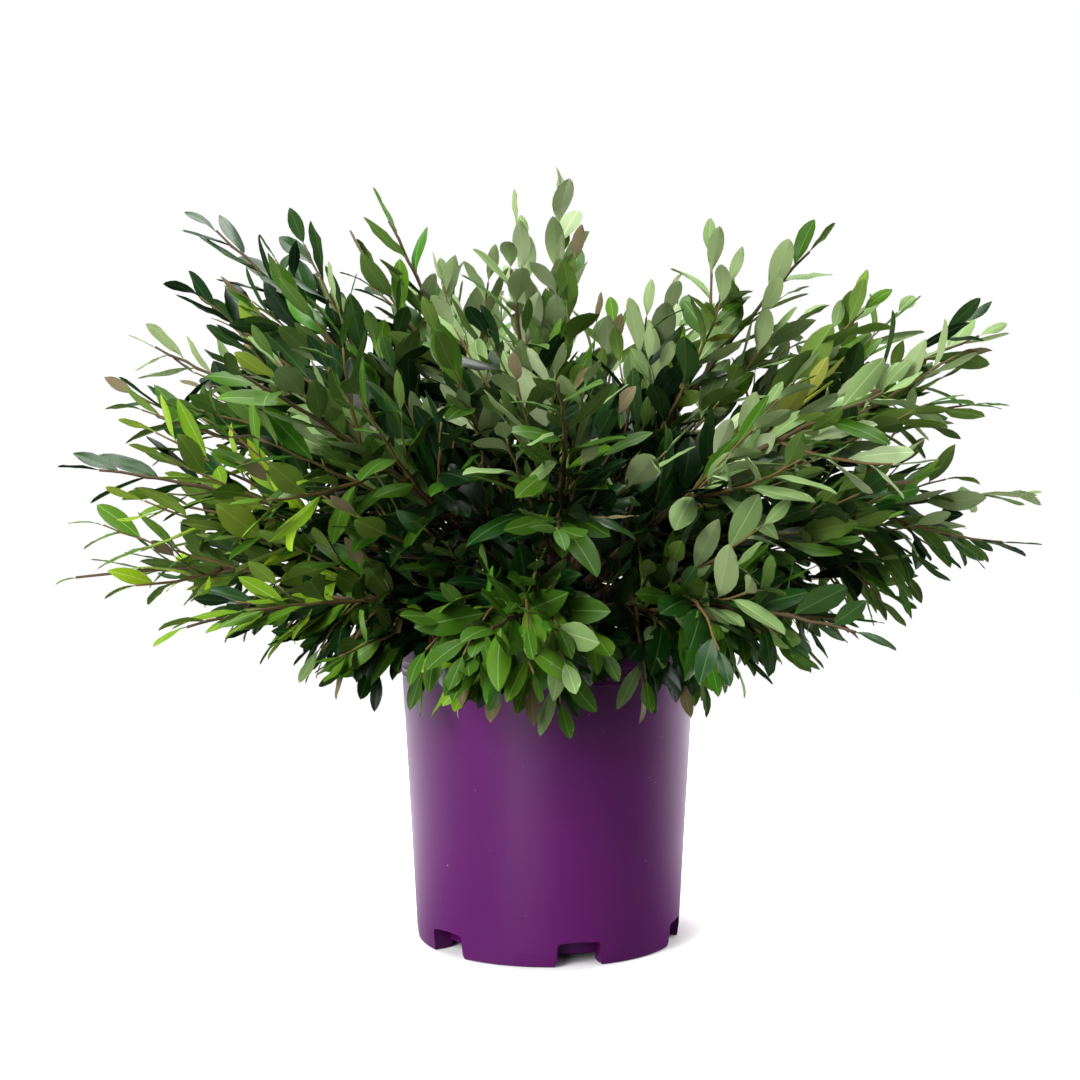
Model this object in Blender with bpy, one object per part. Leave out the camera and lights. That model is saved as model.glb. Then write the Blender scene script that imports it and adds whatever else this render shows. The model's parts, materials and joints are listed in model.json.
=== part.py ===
"""A distylium shrub in a round nursery pot, in metres, +Z up, the pot's underside centred on the origin.

The shrub is a short trunk that forks into boughs. Each bough carries one mass of foliage: a stem with
side twigs and leaves, fused into one solid, that keeps to its own cone of space around the fork.
"""

import itertools
import math
import random

import bmesh
import bpy
from mathutils import Matrix, Vector
from mathutils.bvhtree import BVHTree

# Pot
POT_HEIGHT = 0.222
FOOT_RADIUS = 0.0976
WALL_TAPER = 0.0589  # growth of the outer radius for each metre of height
WALL = 0.002
LIP_RADIUS = 0.120
LIP_HEIGHT = 0.015
EDGE = 0.0015  # chamfer of the foot and of the lip
FLOOR_UNDERSIDE = 0.0053
STEP_RADIUS = 0.083  # outside this the floor is raised, so that the notches open into a channel
STEP_HEIGHT = 0.0124
NOTCHES = 6
NOTCH_FIRST = -77.5  # degrees from +X, just right of the front
NOTCH_WIDTH = 0.031
NOTCH_HEIGHT = 0.0172
NOTCH_INNER = 0.090
DRAIN_SLOT = (0.006, 0.018)
DRAIN_RADIUS = 0.0885
WEB = 0.002  # thickness of the plates that close the sides of a notch
WEB_ENDS = (0.0802, 0.0936)  # how far out they start and stop, sunk in the step and in the wall
WEB_CLEAR = 0.0002  # between them and the notch
WEB_LIFT = 0.0005
POT_SEGMENTS = 48

# Potting mix
MIX_TOP = 0.200
MIX_FALL = 0.003  # how much lower the mix lies at the wall
MIX_FLAT = 0.050  # radius inside which it is level
MIX_GAP = 0.0005

# Trunk and boughs
GAP = 0.0003  # between solids that touch
FORK = Vector((0, 0, 0.233))
FORK_RADIUS = 0.011
TRUNK_LEAN = Vector((-0.003, 0.002, 0))  # offset of the foot from the fork
TRUNK_PROFILE = ((0.0165, 0.0), (0.0128, 0.004), (0.0106, 0.011), (0.0098, 0.024))  # radius, height
TRUNK_TOP_RADIUS = 0.0088
TRUNK_SIDES = 10
STUB_REACH = 0.036  # from the fork's centre to where the boughs begin
STUB_RADIUS = 0.0048
BOUGH_RADIUS = 0.0042
BOUGH_SIDES = 5
BOUGH_SHARE = 0.30  # of the reach, taken by the bough
BOUGH_STEPS = 2
STEM_STEPS = 4

# Crown: each ring has the azimuths, elevations and reaches of its masses, seen from the fork
RINGS = {
    "low": (
        (5, 48, 90, 132, 173, 215, 260, 312),
        (14, 3, 5, 3, 4, 0, 0, 0),
        (0.410, 0.340, 0.296, 0.335, 0.400, 0.310, 0.275, 0.310),
    ),
    "mid": (
        (10, 66, 115, 166, 192, 226, 270, 320),
        (32, 31, 33, 33, 18, 30, 28, 28),
        (0.440, 0.350, 0.345, 0.415, 0.370, 0.345, 0.338, 0.345),
    ),
    "high": (
        (186, 262, 350, 50, 122),
        (49, 52, 54, 54, 55),
        (0.405, 0.320, 0.360, 0.335, 0.340),
    ),
    "top": ((178, 300), (68, 87), (0.352, 0.352)),
}
ARCH = 14  # degrees by which a bough leaves the fork steeper than its tip lies
ARCH_MIDDLE = 1 / 3  # share of the arch at which a mass's space is centred
WANDER = 4  # degrees by which it strays to the side halfway
LOBE = 2.4  # how fast a mass's reach falls off beside its axis
SKIRT = (0.14, 0.155, 0.36)  # the crown's underside: its height at a radius, and its slope outward

# Twigs and leaves
STEM_RADIUS = 0.0026
TIP_RADIUS = 0.0012
STEM_STOP = 0.062  # the stem ends this far inside the reach, for its last leaf
SIDE_TWIGS = 7
FIRST_TWIG = 0.4  # of the way from the stem's root to where a second twig would be
GOLDEN_ANGLE = math.radians(137.5)
TWIG_ANGLE = (32, 50)  # degrees from the stem
TWIG_LENGTHS = (0.125, 0.100, 0.078, 0.058, 0.040)  # tried in turn until one keeps to the space
TWIG_RISE = 0.2  # how far a twig's tip is lifted, as a share of its length
TWIG_RADII = (0.0013, 0.0009)
TWIG_CHECKS = 8
BOUGH_CHECKS = 12
LEAF_LENGTH = 0.069
LEAF_WIDTH = 0.037
LEAF_THICKNESS = 0.0011
LEAF_FOLD = 0.002
LEAF_SPACING = 0.0243
LEAF_SIZES = (0.85, 1.05)
LEAF_ANGLE = (40, 66)
LEAF_ROOT = 0.0006  # how far a leaf's root is sunk past the axis of its twig
LEAF_RIDGE = 0.38  # of the length, where the midrib is thickest
LEAF_WIDEST = 0.52
LEAF_ROLL = 40  # degrees either way that a pair of leaves turns on its twig
LEAF_FACING = 0.7  # how far a blade faces up, where 1 is how far it faces out of the crown
LEAF_STRAY = 0.35
LEAF_TRIES = 14
LEAF_SHRINK = 0.35  # how much smaller the last try is than the first
SPACE_MARGIN = 0.0008
POT_MARGIN = 0.004
LIMB_MARGIN = 0.002
SEED = 11

COLOURS = {  # base colour, roughness
    "pot_plastic": ((0.115, 0.018, 0.125), 0.38),
    "potting_mix": ((0.035, 0.020, 0.012), 0.95),
    "bark": ((0.150, 0.085, 0.045), 0.85),
    "leaf": ((0.070, 0.160, 0.035), 0.45),
}
UP = Vector((0, 0, 1))


def clear_scene():
    for obj in list(bpy.data.objects):
        bpy.data.objects.remove(obj)


def material(name):
    """The named Principled material, made once."""
    found = bpy.data.materials.get(name)
    if found:
        return found
    colour, roughness = COLOURS[name]
    made = bpy.data.materials.new(name)
    made.use_nodes = True
    shader = made.node_tree.nodes["Principled BSDF"]
    shader.inputs["Base Color"].default_value = (*colour, 1)
    shader.inputs["Roughness"].default_value = roughness
    shader.inputs["Metallic"].default_value = 0
    return made


def add_object(name, bm, finish, collection=None):
    """A mesh object made from bm, with its normals facing out."""
    bmesh.ops.recalc_face_normals(bm, faces=bm.faces)
    mesh = bpy.data.meshes.new(name)
    bm.to_mesh(mesh)
    bm.free()
    obj = bpy.data.objects.new(name, mesh)
    obj.data.materials.append(material(finish))
    (collection or bpy.context.scene.collection).objects.link(obj)
    return obj


def polar(azimuth, elevation):
    """The unit vector at that azimuth from +X and elevation above the horizon, in degrees."""
    a, e = math.radians(azimuth), math.radians(elevation)
    return Vector((math.cos(e) * math.cos(a), math.cos(e) * math.sin(a), math.sin(e)))


def lathe(name, profile, finish):
    """A solid turned about Z from (radius, height) points that run from the axis back to it."""
    bm = bmesh.new()
    points = [bm.verts.new((radius, 0, height)) for radius, height in profile]
    edges = [bm.edges.new(pair) for pair in zip(points, points[1:])]
    bmesh.ops.spin(
        bm,
        geom=points + edges,
        axis=UP,
        cent=(0, 0, 0),
        angle=math.tau,
        steps=POT_SEGMENTS,
        use_merge=True,
    )
    bmesh.ops.remove_doubles(bm, verts=bm.verts, dist=1e-6)
    return add_object(name, bm, finish)


def tube(path, radii, sides, first=None):
    """A tapering tube with flat ends; the first ring faces along first where that is given."""
    bm = bmesh.new()
    rings = []
    across = (path[1] - path[0]).orthogonal()
    for i, (point, radius) in enumerate(zip(path, radii)):
        ahead = (path[min(i + 1, len(path) - 1)] - path[max(i - 1, 0)]).normalized()
        if i == 0 and first:
            ahead = first
        across = (across - ahead * across.dot(ahead)).normalized()
        other = ahead.cross(across)
        turns = [math.tau * k / sides for k in range(sides)]
        spokes = [across * math.cos(turn) + other * math.sin(turn) for turn in turns]
        rings.append([bm.verts.new(point + spoke * radius) for spoke in spokes])
    for lower, upper in zip(rings, rings[1:]):
        for k in range(sides):
            n = (k + 1) % sides
            bm.faces.new((lower[k], lower[n], upper[n], upper[k]))
    bm.faces.new(reversed(rings[0]))
    bm.faces.new(rings[-1])
    return bm


def fused(obj, others):
    """Joins a collection's objects to obj in one Boolean union, then removes them."""
    union = obj.modifiers.new("union", "BOOLEAN")
    union.operation = "UNION"
    union.operand_type = "COLLECTION"
    union.collection = others
    union.solver = "EXACT"
    joined = bpy.data.meshes.new_from_object(
        obj.evaluated_get(bpy.context.evaluated_depsgraph_get())
    )
    obj.modifiers.remove(union)
    obj.data = joined
    for other in list(others.objects):
        bpy.data.objects.remove(other)
    bpy.data.collections.remove(others)
    return obj


def helper_collection(name):
    made = bpy.data.collections.new(name)
    bpy.context.scene.collection.children.link(made)
    return made


# Pot and potting mix


def wall_radius(height):
    """Outer radius of the pot's wall."""
    return FOOT_RADIUS + WALL_TAPER * height


def pot_cutter(name, size, radius, azimuth):
    """A box that cuts the pot, centred on the ground; size is radial, tangential and upright."""
    bm = bmesh.new()
    bmesh.ops.create_cube(bm, size=1, matrix=Matrix.Diagonal((*size, 1)))
    cutter = add_object(name, bm, "pot_plastic")
    cutter.location = polar(azimuth, 0) * radius
    cutter.rotation_euler.z = math.radians(azimuth)
    cutter.hide_render = True
    cutter.display_type = "WIRE"
    return cutter


def cut(obj, cutter):
    modifier = obj.modifiers.new(cutter.name, "BOOLEAN")
    modifier.operation = "DIFFERENCE"
    modifier.solver = "EXACT"
    modifier.object = cutter


def foot_web(azimuth, side, top, webs):
    """A plate in the channel that closes one side of the notch at that azimuth."""
    start, end = WEB_ENDS
    size = (end - start, WEB, top - WEB_LIFT)
    aside = side * (NOTCH_WIDTH / 2 + WEB_CLEAR + WEB / 2)
    place = Matrix.Translation(((start + end) / 2, aside, (top + WEB_LIFT) / 2))
    turn = Matrix.Rotation(math.radians(azimuth), 4, "Z")
    bm = bmesh.new()
    bmesh.ops.create_cube(bm, size=1, matrix=turn @ place @ Matrix.Diagonal((*size, 1)))
    return add_object("web", bm, "pot_plastic", webs)


def make_pot():
    """The pot: a tapered wall, a turned-down lip, a stepped floor with drain slots and a notched foot."""
    channel_top = FLOOR_UNDERSIDE + STEP_HEIGHT
    foot_outer = wall_radius(0) - EDGE
    lip_bottom = POT_HEIGHT - LIP_HEIGHT
    roof = POT_HEIGHT - WALL
    pot = lathe(
        "pot",
        (
            (0, FLOOR_UNDERSIDE),
            (STEP_RADIUS, FLOOR_UNDERSIDE),
            (STEP_RADIUS, channel_top),
            (foot_outer - WALL, channel_top),
            (foot_outer - WALL, 0),
            (foot_outer, 0),
            (wall_radius(2 * EDGE), 2 * EDGE),
            (wall_radius(roof), roof),
            (LIP_RADIUS - WALL, roof),
            (LIP_RADIUS - WALL - EDGE / 2, lip_bottom),
            (LIP_RADIUS - EDGE / 2, lip_bottom),
            (LIP_RADIUS, POT_HEIGHT - EDGE),
            (LIP_RADIUS - EDGE, POT_HEIGHT),
            (wall_radius(roof) - WALL + EDGE, POT_HEIGHT),
            (wall_radius(roof) - WALL, POT_HEIGHT - EDGE),
            (wall_radius(channel_top + WALL) - WALL, channel_top + WALL),
            (STEP_RADIUS - WALL, channel_top + WALL),
            (STEP_RADIUS - WALL, FLOOR_UNDERSIDE + WALL),
            (0, FLOOR_UNDERSIDE + WALL),
        ),
        "pot_plastic",
    )
    azimuths = [NOTCH_FIRST + 360 * k / NOTCHES for k in range(NOTCHES)]
    webs = helper_collection("webs")
    for azimuth, side in itertools.product(azimuths, (-1, 1)):
        foot_web(azimuth, side, channel_top + WALL / 2, webs)
    fused(pot, webs)
    notch_depth = 2 * (FOOT_RADIUS - NOTCH_INNER)
    for k, azimuth in enumerate(azimuths):
        notch_size = (notch_depth, NOTCH_WIDTH, 2 * NOTCH_HEIGHT)
        slot_size = (*DRAIN_SLOT, 2 * (channel_top + 2 * WALL))
        cut(pot, pot_cutter(f"notch_cutter_{k + 1}", notch_size, NOTCH_INNER + notch_depth / 2, azimuth))
        cut(pot, pot_cutter(f"slot_cutter_{k + 1}", slot_size, DRAIN_RADIUS, azimuth))
    return pot


def make_mix():
    """The potting mix that fills the pot, flat round the trunk and a little lower at the wall."""
    base = FLOOR_UNDERSIDE + WALL + MIX_GAP
    inset = WALL + MIX_GAP
    return lathe(
        "potting_mix",
        (
            (0, base),
            (STEP_RADIUS - inset, base),
            (STEP_RADIUS - inset, base + STEP_HEIGHT),
            (wall_radius(base + STEP_HEIGHT) - inset, base + STEP_HEIGHT),
            (wall_radius(MIX_TOP) - inset, MIX_TOP - MIX_FALL),
            (MIX_FLAT, MIX_TOP),
            (0, MIX_TOP),
        ),
        "potting_mix",
    )


# Shrub


class Mass:
    """One mass of foliage and the bough that carries it."""

    def __init__(self, name, index, azimuth, elevation, reach):
        self.name = name
        self.azimuth = azimuth
        self.elevation = elevation
        self.reach = reach
        self.arch = ARCH * math.cos(math.radians(elevation))
        self.phase = index * GOLDEN_ANGLE
        self.way = polar(azimuth, elevation)
        self.axis = polar(azimuth, elevation + self.arch * ARCH_MIDDLE)
        self.rng = random.Random(SEED + index)

    def point(self, share):
        """The limb's centre line at that share of the reach."""
        wander = WANDER * math.sin(math.pi * share) * math.sin(self.phase)
        elevation = self.elevation + self.arch * (1 - share)
        return FORK + polar(self.azimuth + wander, elevation) * (self.reach * share)

    def path(self, start, end, steps):
        return [self.point(start + (end - start) * k / steps) for k in range(steps + 1)]

    @property
    def stem_end(self):
        """Share of the reach at which the stem ends and its last leaf goes on."""
        return 1 - STEM_STOP / self.reach


def make_masses():
    masses = []
    for ring, (azimuths, elevations, reaches) in RINGS.items():
        for k, place in enumerate(zip(azimuths, elevations, reaches)):
            masses.append(Mass(f"{ring}_{k + 1}", len(masses), *place))
    return masses


def in_space(point, mass, masses):
    """Whether the point lies in the mass's own lobe, clear of its neighbours and of the pot."""
    out = point - FORK
    beside = 1 - out.normalized().dot(mass.way)
    if out.length > mass.reach * (1 - LOBE * beside):
        return False
    radius = math.hypot(point.x, point.y)
    if radius < LIP_RADIUS + POT_MARGIN and point.z < POT_HEIGHT + POT_MARGIN:
        return False
    skirt_radius, skirt_height, skirt_slope = SKIRT
    if point.z < skirt_height + skirt_slope * (radius - skirt_radius):
        return False
    between = [mass.axis - other.axis for other in masses if other is not mass]
    return all(out.dot(side) > SPACE_MARGIN * side.length for side in between)


def make_trunk(masses):
    """The flared foot, flat on the mix, and the stubs of its fork, one for each bough."""
    foot = Vector((0, 0, MIX_TOP + GAP)) + TRUNK_LEAN
    top = TRUNK_PROFILE[-1][1]
    path = [foot + UP * height - TRUNK_LEAN * (height / top) for _, height in TRUNK_PROFILE] + [FORK]
    radii = [radius for radius, _ in TRUNK_PROFILE] + [TRUNK_TOP_RADIUS]
    trunk = add_object("trunk", tube(path, radii, TRUNK_SIDES, first=UP), "bark")
    pieces = helper_collection("trunk_pieces")
    knuckle = bmesh.new()
    bmesh.ops.create_icosphere(knuckle, subdivisions=1, radius=FORK_RADIUS, matrix=Matrix.Translation(FORK))
    add_object("knuckle", knuckle, "bark", pieces)
    for mass in masses:
        start = mass.point(STUB_REACH / mass.reach)
        way = (start - FORK).normalized()
        ends = [FORK + way * FORK_RADIUS / 2, start - way * GAP]
        add_object("stub", tube(ends, (STUB_RADIUS, BOUGH_RADIUS), BOUGH_SIDES), "bark", pieces)
    return fused(trunk, pieces)


def make_bough(mass):
    """One tapering limb, from the fork's stub to the stem of its mass."""
    path = mass.path(STUB_REACH / mass.reach, BOUGH_SHARE, BOUGH_STEPS)
    taper = (BOUGH_RADIUS - STEM_RADIUS) / BOUGH_STEPS
    radii = [BOUGH_RADIUS - taper * k for k in range(BOUGH_STEPS + 1)]
    way = (path[0] - FORK).normalized()
    return add_object(f"bough_{mass.name}", tube(path, radii, BOUGH_SIDES, first=way), "bark")


def side_twigs(mass, masses):
    """The paths of the twigs that leave the mass's stem; each is as long as its space allows."""
    for k in range(SIDE_TWIGS):
        share = BOUGH_SHARE + (mass.stem_end - BOUGH_SHARE) * (k + FIRST_TWIG) / SIDE_TWIGS
        root = mass.point(share)
        ahead = (mass.point(mass.stem_end) - root).normalized()
        turn = Matrix.Rotation(GOLDEN_ANGLE * k + mass.phase, 3, ahead)
        lean = math.radians(mass.rng.uniform(*TWIG_ANGLE))
        way = ahead * math.cos(lean) + (turn @ ahead.orthogonal().normalized()) * math.sin(lean)
        for length in TWIG_LENGTHS:
            tip = root + (way + UP * TWIG_RISE) * length
            checks = [root.lerp(tip, (n + 1) / TWIG_CHECKS) for n in range(TWIG_CHECKS)]
            if all(in_space(point, mass, masses) for point in checks):
                yield [root, tip]
                break


def along(path, reach):
    """The point at that distance along a path."""
    for a, b in zip(path, path[1:]):
        step = (b - a).length
        if reach <= step:
            return a.lerp(b, reach / step)
        reach -= step
    return path[-1]


def leaf(root, way, face, length):
    """A folded blade of eight faces: root, tip, two edges and the midrib above and below."""
    bm = bmesh.new()
    side = way.cross(face).normalized()
    middle = root + way * (length * LEAF_RIDGE)
    edge = root + way * (length * LEAF_WIDEST) + face * LEAF_FOLD
    half = side * (LEAF_WIDTH / 2 * length / LEAF_LENGTH)
    ridge = face * (LEAF_THICKNESS / 2)
    places = (root, edge + half, root + way * length, edge - half, middle + ridge, middle - ridge)
    verts = [bm.verts.new(place) for place in places]
    for k in range(4):
        a, b = verts[k], verts[(k + 1) % 4]
        bm.faces.new((a, b, verts[4]))
        bm.faces.new((b, a, verts[5]))
    return bm


def leaves_on(path, rng):
    """For each leaf of a twig, by turns left and right and the last at its tip, the blades to try."""
    total = sum((b - a).length for a, b in zip(path, path[1:]))
    ahead = (path[-1] - path[0]).normalized()
    rank = Matrix.Rotation(rng.uniform(0, math.tau), 3, ahead) @ ahead.orthogonal().normalized()
    count = max(1, int(total / LEAF_SPACING))
    for k in range(1, count + 1):
        last = k == count
        place = along(path, total if last else LEAF_SPACING * k)
        out = rank if k % 2 else -rank
        sizes = [1 - LEAF_SHRINK * n / LEAF_TRIES for n in range(LEAF_TRIES)]
        yield [blade_try(place, ahead, out, rng, last, size) for size in sizes]


def blade_try(place, ahead, out, rng, last, size):
    """One way for a leaf to stand: root, direction, face and length."""
    out = Matrix.Rotation(math.radians(rng.uniform(-LEAF_ROLL, LEAF_ROLL)), 3, ahead) @ out
    lean = 0 if last else math.radians(rng.uniform(*LEAF_ANGLE))
    way = ahead * math.cos(lean) + out * math.sin(lean)
    stray = Vector([rng.uniform(-LEAF_STRAY, LEAF_STRAY) for _ in range(3)])
    light = (place - FORK).normalized() + UP * LEAF_FACING + stray
    face = (light - way * light.dot(way)).normalized()
    length = LEAF_LENGTH * size * rng.uniform(*LEAF_SIZES)
    return place - way * LEAF_ROOT, way, face, length


def fits(blade, bough, mass, masses):
    """Whether a blade keeps to its mass's space and clear of its bough, at its corners and between them."""
    points = [vert.co.copy() for vert in blade.verts]
    points += [(a + b) / 2 for a, b in itertools.combinations(points, 2)]
    if not all(in_space(point, mass, masses) for point in points):
        return False
    return all((p - q).length > BOUGH_RADIUS + LIMB_MARGIN for p in bough for q in points)


def make_foliage(mass, masses):
    """The mass's stem, twigs and leaves as one solid, without those that would leave its space or meet."""
    bough = mass.path(STUB_REACH / mass.reach, BOUGH_SHARE, BOUGH_CHECKS)
    stem = mass.path(BOUGH_SHARE, mass.stem_end, STEM_STEPS)
    stem[0] = stem[0] + (stem[1] - stem[0]).normalized() * GAP
    taper = (STEM_RADIUS - TIP_RADIUS) / STEM_STEPS
    radii = [STEM_RADIUS - taper * k for k in range(STEM_STEPS + 1)]
    foliage = add_object(f"foliage_{mass.name}", tube(stem, radii, 3), "leaf")
    pieces = helper_collection("foliage_pieces")
    bearers = [stem]
    for path in side_twigs(mass, masses):
        add_object("twig", tube(path, TWIG_RADII, 3), "leaf", pieces)
        bearers.append(path)
    placed = []
    for path in bearers:
        for tries in leaves_on(path, mass.rng):
            for stand in tries:
                blade = leaf(*stand)
                tree = BVHTree.FromBMesh(blade)
                if fits(blade, bough, mass, masses) and not any(tree.overlap(other) for other in placed):
                    placed.append(tree)
                    add_object("leaf", blade, "leaf", pieces)
                    break
                blade.free()
    return fused(foliage, pieces)


def main():
    clear_scene()
    make_pot()
    make_mix()
    masses = make_masses()
    make_trunk(masses)
    for mass in masses:
        make_bough(mass)
        make_foliage(mass, masses)


main()
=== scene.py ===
"""A distylium shrub in a round nursery pot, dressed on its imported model.

Metres, +Z up, the pot's underside centred on the origin, -Y towards the camera. The shrub's boughs,
twigs and leaves grow by the rule that its solids follow, carried to finer twigs and life-size leaves.
"""

import itertools
import json
import math
import random
from typing import NamedTuple

import bmesh
import bpy
import numpy as np
from mathutils import Matrix, Vector, noise

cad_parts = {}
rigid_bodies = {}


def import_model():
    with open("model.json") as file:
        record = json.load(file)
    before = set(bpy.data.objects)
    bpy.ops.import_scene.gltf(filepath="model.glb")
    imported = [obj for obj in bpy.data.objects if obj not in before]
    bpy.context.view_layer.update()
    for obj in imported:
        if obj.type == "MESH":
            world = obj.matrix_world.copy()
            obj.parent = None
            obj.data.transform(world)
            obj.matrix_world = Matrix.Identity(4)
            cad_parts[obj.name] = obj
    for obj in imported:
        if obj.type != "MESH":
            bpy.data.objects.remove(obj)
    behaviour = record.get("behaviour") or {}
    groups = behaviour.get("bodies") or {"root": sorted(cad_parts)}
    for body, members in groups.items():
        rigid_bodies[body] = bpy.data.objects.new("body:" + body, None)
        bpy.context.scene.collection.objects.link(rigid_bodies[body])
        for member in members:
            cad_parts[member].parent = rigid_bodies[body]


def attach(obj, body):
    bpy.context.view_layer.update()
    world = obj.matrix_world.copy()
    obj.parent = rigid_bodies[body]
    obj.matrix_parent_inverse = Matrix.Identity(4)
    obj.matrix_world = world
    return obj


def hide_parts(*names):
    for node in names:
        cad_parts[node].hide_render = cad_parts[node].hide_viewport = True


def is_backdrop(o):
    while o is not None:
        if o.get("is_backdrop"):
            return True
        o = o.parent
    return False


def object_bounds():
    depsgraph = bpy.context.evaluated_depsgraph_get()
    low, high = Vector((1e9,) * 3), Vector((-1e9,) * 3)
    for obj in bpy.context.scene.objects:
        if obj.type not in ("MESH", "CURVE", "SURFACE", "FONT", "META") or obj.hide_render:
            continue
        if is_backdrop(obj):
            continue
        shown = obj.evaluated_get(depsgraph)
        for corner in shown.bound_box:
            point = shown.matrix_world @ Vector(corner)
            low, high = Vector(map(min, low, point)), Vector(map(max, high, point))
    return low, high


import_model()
CAD_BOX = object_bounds()
BODY = "root"
UP = Vector((0, 0, 1))

# Pot
POT_HEIGHT = 0.222
FOOT_RADIUS = 0.0976
WALL_TAPER = 0.0589  # growth of the outer radius for each metre of height
WALL = 0.002
LIP_RADIUS = 0.120
LIP_HEIGHT = 0.015
FOOT_ROUND = 0.0018
EDGE_INSET = 0.0008  # how far the lower edges of the foot and the lip draw in
TAPER_START = 0.010
LIP_BEND = 0.004  # how far below the rim the lip's side starts to draw in
RIM_ROUND = 0.0016
PINHOLE = 0.0005  # left open on the axis
POT_SHARP = 38  # degrees from which its edges stay sharp
RIBS = (0.1955, 0.2005)  # heights of the moulded lines below the lip
RIB_PROUD = 0.0003
RIB_HEIGHT = 0.0016
FLOOR_UNDERSIDE = 0.0053
STEP_RADIUS = 0.083  # outside this the floor is raised, so that the notches open into a channel
STEP_HEIGHT = 0.0124
NOTCHES = 6
NOTCH_FIRST = -77.5  # degrees from +X, just right of the front
NOTCH_WIDTH = 0.031
NOTCH_HEIGHTS = (0.0164, 0.0175)  # at its shoulders and in its middle
NOTCH_ROUND = 0.0032
NOTCH_INNER = 0.090
CUT_PAST = 0.010  # how far the cutters reach past the wall
DRAIN_SLOT = (0.006, 0.018, 0.05)
DRAIN_RADIUS = 0.0885
WEB = 0.002  # thickness of the plates that close the sides of a notch
WEB_ENDS = (0.0802, 0.0936)  # how far out they start and stop, sunk in the step and in the wall
WEB_CLEAR = 0.0002  # between them and the notch
WEB_LIFT = 0.0005
POT_SEGMENTS = 240
MOST_CUT = 0.49  # share of an edge that rounding may take at either end

# Potting mix
MIX_TOP = 0.200
MIX_FALL = 0.003  # how much lower the mix lies at the wall
MIX_FLAT = 0.050
MIX_GAP = 0.0006
MIX_RELIEF = 0.0016
MIX_SINK = 0.8  # how far the relief lies below the mix's height, in shares of it
MIX_LUMPS = ((60, 0, 1.0), (190, 3, 0.5))  # how dense, at what level of the noise, and how high
MIX_SHARP = 60
MIX_RINGS = 44
MIX_SPOKES = 150
CHIPS = 900
CHIP_SIZE = (0.0025, 0.008)
CHIP_SIDES = ((0.35, 0.80), (0.15, 0.35))  # its width and thickness, in shares of its length
CHIP_JITTER = (0.70, 1.15)
CHIP_TILT = 0.35
CHIP_SINK = 0.4  # how far below the mix's height they lie, in shares of its relief
CHIP_INSET = 0.004  # from the wall

# Trunk and boughs
FORK = Vector((0, 0, 0.233))
FORK_RADIUS = 0.0105
TRUNK_FOOT = 0.0003  # above the mix
TRUNK_LEAN = Vector((-0.003, 0.002, 0))
TRUNK_PROFILE = ((0.0165, 0.0), (0.0128, 0.004), (0.0106, 0.011), (0.0098, 0.024))  # radius, height
TRUNK_TOP_RADIUS = 0.0088
BOUGH_RADII = (0.0046, 0.0026)
BOUGH_SHARE = 0.30
BOUGH_OVERLAP = 0.012  # of a bough and the stem it bears, as a share of the reach
BOUGH_STEPS = 8
LIMB_SIDES = 12
LIMB_VOXEL = 0.0011
LIMB_RELAX = (0.5, 4)  # how strongly the skin is smoothed, and how often
BARK_RELIEF = 0.00028
BARK_LUMPS = ((130, 1.0), (420, 0.6))  # how dense, and how high

# Crown: each ring has the azimuths, elevations and reaches of its masses, seen from the fork
RINGS = {
    "low": (
        (5, 48, 90, 132, 173, 215, 260, 312),
        (14, 3, 5, 3, 4, 0, 0, 0),
        (0.410, 0.340, 0.296, 0.335, 0.400, 0.310, 0.275, 0.310),
    ),
    "mid": (
        (10, 66, 115, 166, 192, 226, 270, 320),
        (32, 31, 33, 33, 18, 30, 28, 28),
        (0.440, 0.350, 0.345, 0.415, 0.370, 0.345, 0.338, 0.345),
    ),
    "high": (
        (186, 262, 350, 50, 122),
        (49, 52, 54, 54, 55),
        (0.405, 0.320, 0.360, 0.335, 0.340),
    ),
    "top": ((178, 300), (68, 87), (0.352, 0.352)),
}
ARCH = 14  # degrees by which a bough leaves the fork steeper than its tip lies
ARCH_MIDDLE = 1 / 3
WANDER = 4
LOBE = 2.4  # how fast a mass's reach falls off beside its axis
FINE_LOBE = (0.35, 1.6)  # the same for finer twigs: by the angle, and by how the angle's cosine falls
SKIRT = (0.15, 0.158, 0.42)  # the crown's underside: its height at a radius, and its slope outward
SKIRT_SIDES = 0.028  # by how much it lies higher to the left and right than in front
POT_MARGIN = 0.004
BOX_MARGIN = 0.005
SEED = 11
FINE_SEED = 1011

# Twigs
STEM_STOP = 0.062  # how far inside the reach the source's stem ends
STEM_TIP = 0.026  # how far inside it the finer one does
SOURCE_GAP = 0.0008  # between two masses of the source
SIDE_TWIGS = 7
FIRST_TWIG = 0.4
GOLDEN_ANGLE = math.radians(137.5)
TWIG_ANGLE = (32, 50)
TWIG_LENGTHS = (0.125, 0.100, 0.078, 0.058, 0.040)
TWIG_RISE = 0.2
TWIG_CHECKS = 8
TWIG_GROWTH = (1.4, 1.25, 1.1, 1.0, 0.85)  # how much longer than in the source, the first that fits
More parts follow.
